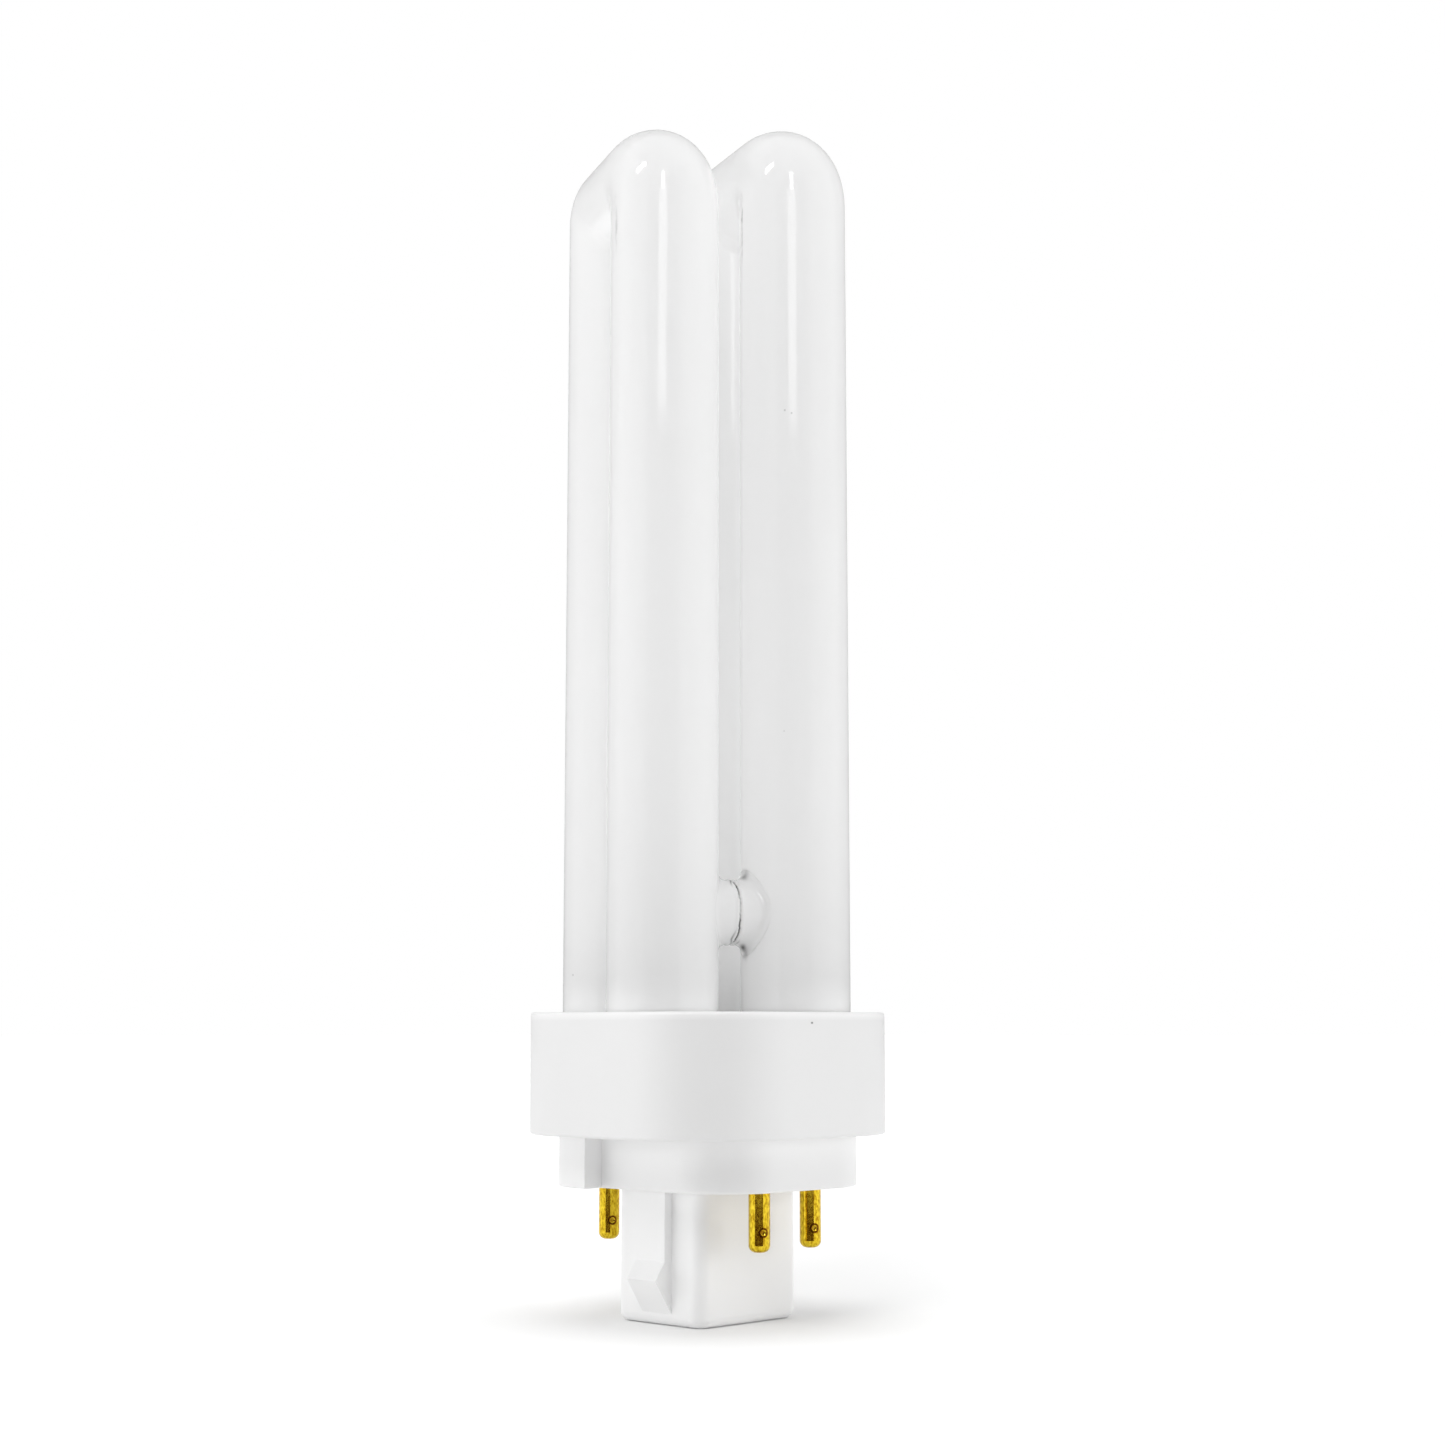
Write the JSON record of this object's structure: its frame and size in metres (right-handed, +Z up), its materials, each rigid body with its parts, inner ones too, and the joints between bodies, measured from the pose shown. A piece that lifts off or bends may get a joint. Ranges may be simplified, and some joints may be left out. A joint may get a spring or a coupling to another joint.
{
  "type": "four pin compact fluorescent lamp",
  "caption": "Plug-in fluorescent lamp: two bent white glass tubes in a moulded collar, with a keyed skirt, a ribbed centre post and brass contact pins.",
  "frame": {"origin": "middle of the centre post's foot, the lowest point of the lamp", "axes": "+Z up, from the post's foot along the lamp to the tube bends. X runs along the short side of the rectangle of contact pins and through the two ribs of the post, Y along the long side. The recessed key side of the skirt faces -X."},
  "size_m": [0.0342, 0.0342, 0.1341],
  "materials": {
    "coated_glass": "clear glass tube with a white coating on its inside, not see-through",
    "white_plastic": "satin",
    "pin_brass": "polished",
    "cement": "matte",
    "wire": "plain nickel wire"
  },
  "bodies": {
    "root": {"discharge_tube": "coated_glass", "collar": "white_plastic", "tube_cement": "cement", "base_cap": "white_plastic", "contact_pin_1": "pin_brass", "contact_pin_2": "pin_brass", "contact_pin_3": "pin_brass", "contact_pin_4": "pin_brass", "lead_wire_1": "wire", "lead_wire_2": "wire", "lead_wire_3": "wire", "lead_wire_4": "wire"}
  },
  "joints": []
}
